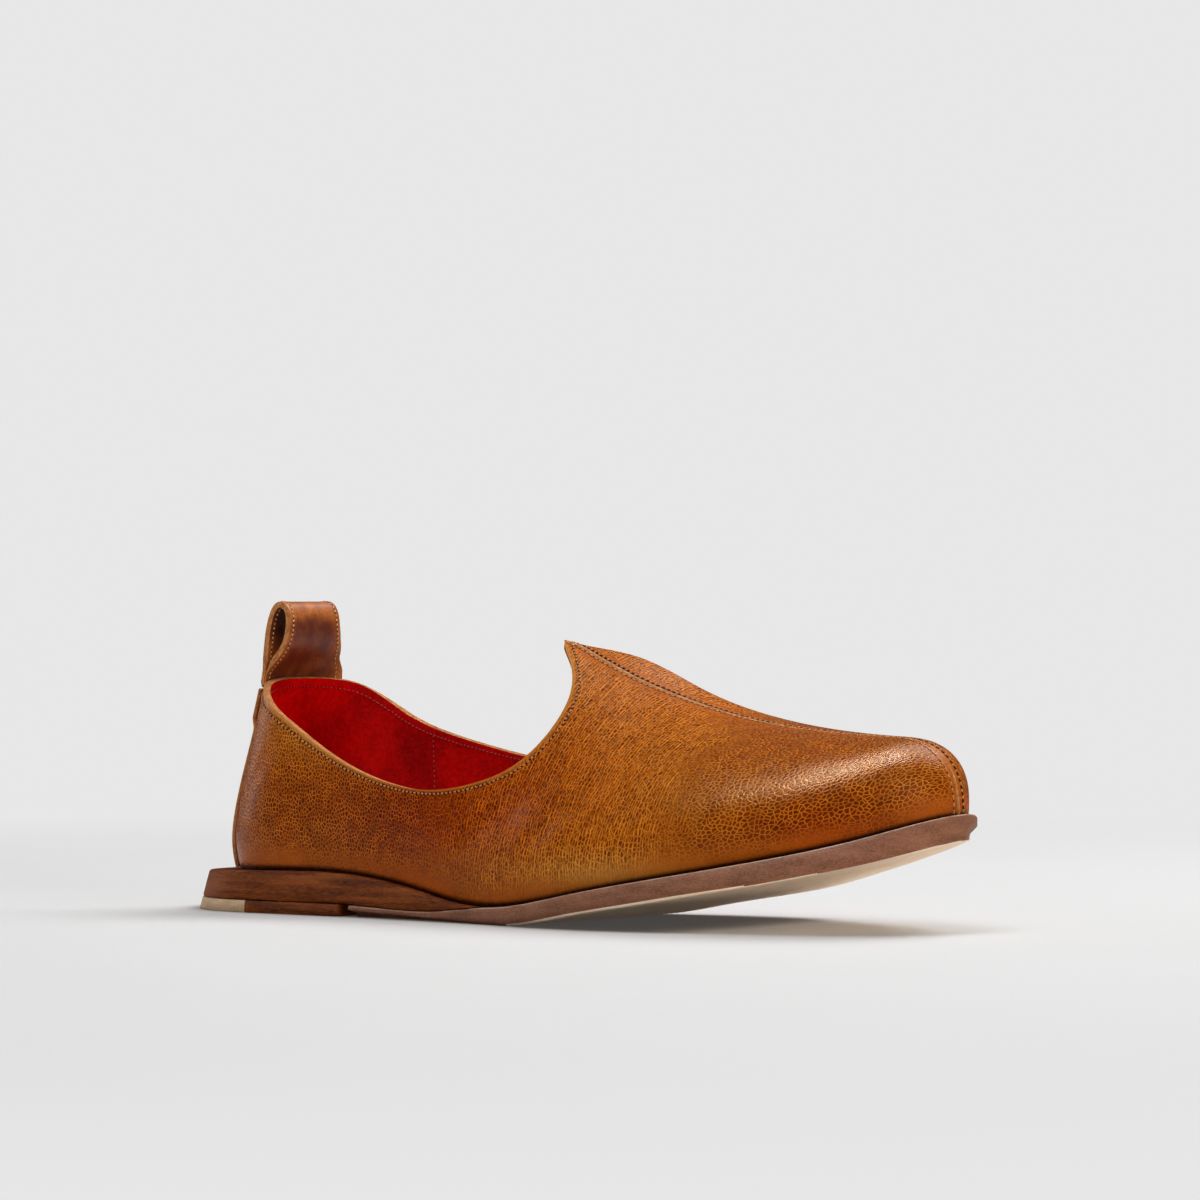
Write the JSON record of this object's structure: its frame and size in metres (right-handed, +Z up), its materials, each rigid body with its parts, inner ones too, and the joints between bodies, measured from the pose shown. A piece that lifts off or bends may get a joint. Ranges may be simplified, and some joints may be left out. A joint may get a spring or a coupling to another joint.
{
  "type": "mojari loafer",
  "caption": "Low leather slip-on shoe with a pointed throat, a stitched seam along the vamp, a pull loop at the heel and a thin leather sole that curls up at the toe.",
  "frame": {"origin": "on the floor, under the middle of the shoe's bounding box", "axes": "+X towards the toe, +Y towards the inner side of the foot (the wearer's left), +Z up"},
  "size_m": [0.292, 0.099, 0.101],
  "materials": {
    "tan_leather": "grained, satin to gloss",
    "red_lining": "matte",
    "sole_leather": "matte edge, pale natural underside",
    "stacked_leather": "stained and burnished edge",
    "pale_tip": "matte"
  },
  "bodies": {
    "root": {"upper": "tan_leather", "insole": "red_lining", "outsole": "sole_leather", "heel_wedge": "stacked_leather", "heel_lift": "stacked_leather", "heel_tip": "pale_tip", "back_strip": "tan_leather", "pull_loop": "tan_leather"}
  },
  "joints": []
}
